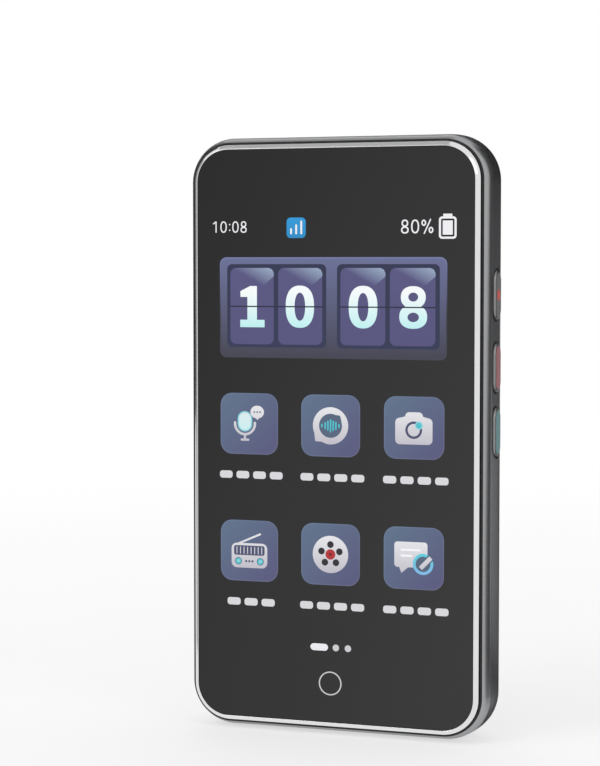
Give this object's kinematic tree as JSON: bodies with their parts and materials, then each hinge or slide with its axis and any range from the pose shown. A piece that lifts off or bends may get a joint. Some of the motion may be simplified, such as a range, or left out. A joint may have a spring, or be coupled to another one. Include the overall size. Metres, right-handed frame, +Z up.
{
  "type": "handheld translator",
  "caption": "Slim upright handheld translator with a glass touch front, sprung side keys, a rear camera in a pill-shaped ring, a speaker grille and sockets below.",
  "frame": {"origin": "centre of the device's overall box, at the level of its lower edge", "axes": "+Z up the device when it stands with its screen upright, -Y out of the screen, +Y out of the back, +X out of the side with the keys"},
  "size_m": [0.068, 0.0176, 0.1284],
  "materials": {
    "cover_glass": "gloss black printed cover glass",
    "adhesive": "black adhesive film",
    "screen": "unlit display module",
    "foam": "black foam",
    "flex_film": "amber flexible circuit",
    "polished_rim": "polished metal rim",
    "front_case": "satin dark silver metal",
    "rear_case": "fine satin silver-grey metal",
    "inner_plate": "bare sheet metal",
    "battery_pouch": "grey laminated pouch",
    "tape": "white double-sided tape",
    "lead": "insulated wire",
    "circuit_board": "green solder mask",
    "shield": "tinned shield can",
    "connector": "moulded connector",
    "screw": "small machine screw",
    "port_metal": "plated port shell",
    "microphone": "gold-plated can",
    "rubber_boot": "black silicone",
    "antenna_film": "copper film",
    "bracket": "stamped steel",
    "switch": "tact switch",
    "key_grey": "satin grey key",
    "key_dot": "red dot",
    "key_red": "muted red key face",
    "key_teal": "muted teal key face",
    "camera_metal": "polished camera ring",
    "camera_glass": "black camera window",
    "lens_metal": "dark lens ring",
    "lens_glass": "coated lens",
    "camera_body": "camera module housing",
    "speaker_case": "speaker housing",
    "mesh_cloth": "fine dust mesh",
    "light_guide": "milky light pipe",
    "lamp": "small lamp"
  },
  "bodies": {
    "case": {"cover_glass": "cover_glass", "glass_adhesive": "adhesive", "display_panel": "screen", "display_pad": "foam", "display_flex": "flex_film", "bezel_ring": "polished_rim", "front_frame": "front_case", "chassis_plate": "inner_plate", "rear_cover": "rear_case", "battery": "battery_pouch", "battery_tape": "tape", "battery_pads": "foam", "battery_leads": "lead", "main_board": "circuit_board", "shield_cans": "shield", "board_connectors": "connector", "lower_board": "circuit_board", "board_link": "flex_film", "board_screws": "screw", "frame_screws": "screw", "usb_port": "port_metal", "headphone_jack": "port_metal", "microphones": "microphone", "microphone_boots": "rubber_boot", "antenna": "antenna_film", "key_bracket": "bracket", "key_board": "circuit_board", "key_switches": "switch", "key_flex": "flex_film", "camera_ring": "camera_metal", "camera_window": "camera_glass", "lens_ring": "lens_metal", "camera_lens": "lens_glass", "camera_module": "camera_body", "camera_gasket": "foam", "speaker": "speaker_case", "speaker_gasket": "foam", "speaker_mesh": "mesh_cloth", "light_pipe": "light_guide", "status_led": "lamp"},
    "power_key": {"power_button": "key_grey", "power_button_dot": "key_dot"},
    "red_key": {"red_button": "key_grey", "red_button_face": "key_red"},
    "teal_key": {"teal_button": "key_grey", "teal_button_face": "key_teal"}
  },
  "joints": [
    {"name": "power_key_press", "type": "slide", "parent": "case", "child": "power_key", "axis": [-1, 0, 0], "range_m": [0, 0.00025], "stiffness_N_per_m": 1200, "springref_m": -0.0004},
    {"name": "red_key_press", "type": "slide", "parent": "case", "child": "red_key", "axis": [-1, 0, 0], "range_m": [0, 0.00025], "stiffness_N_per_m": 1200, "springref_m": -0.0004},
    {"name": "teal_key_press", "type": "slide", "parent": "case", "child": "teal_key", "axis": [-1, 0, 0], "range_m": [0, 0.00025], "stiffness_N_per_m": 1200, "springref_m": -0.0004}
  ]
}
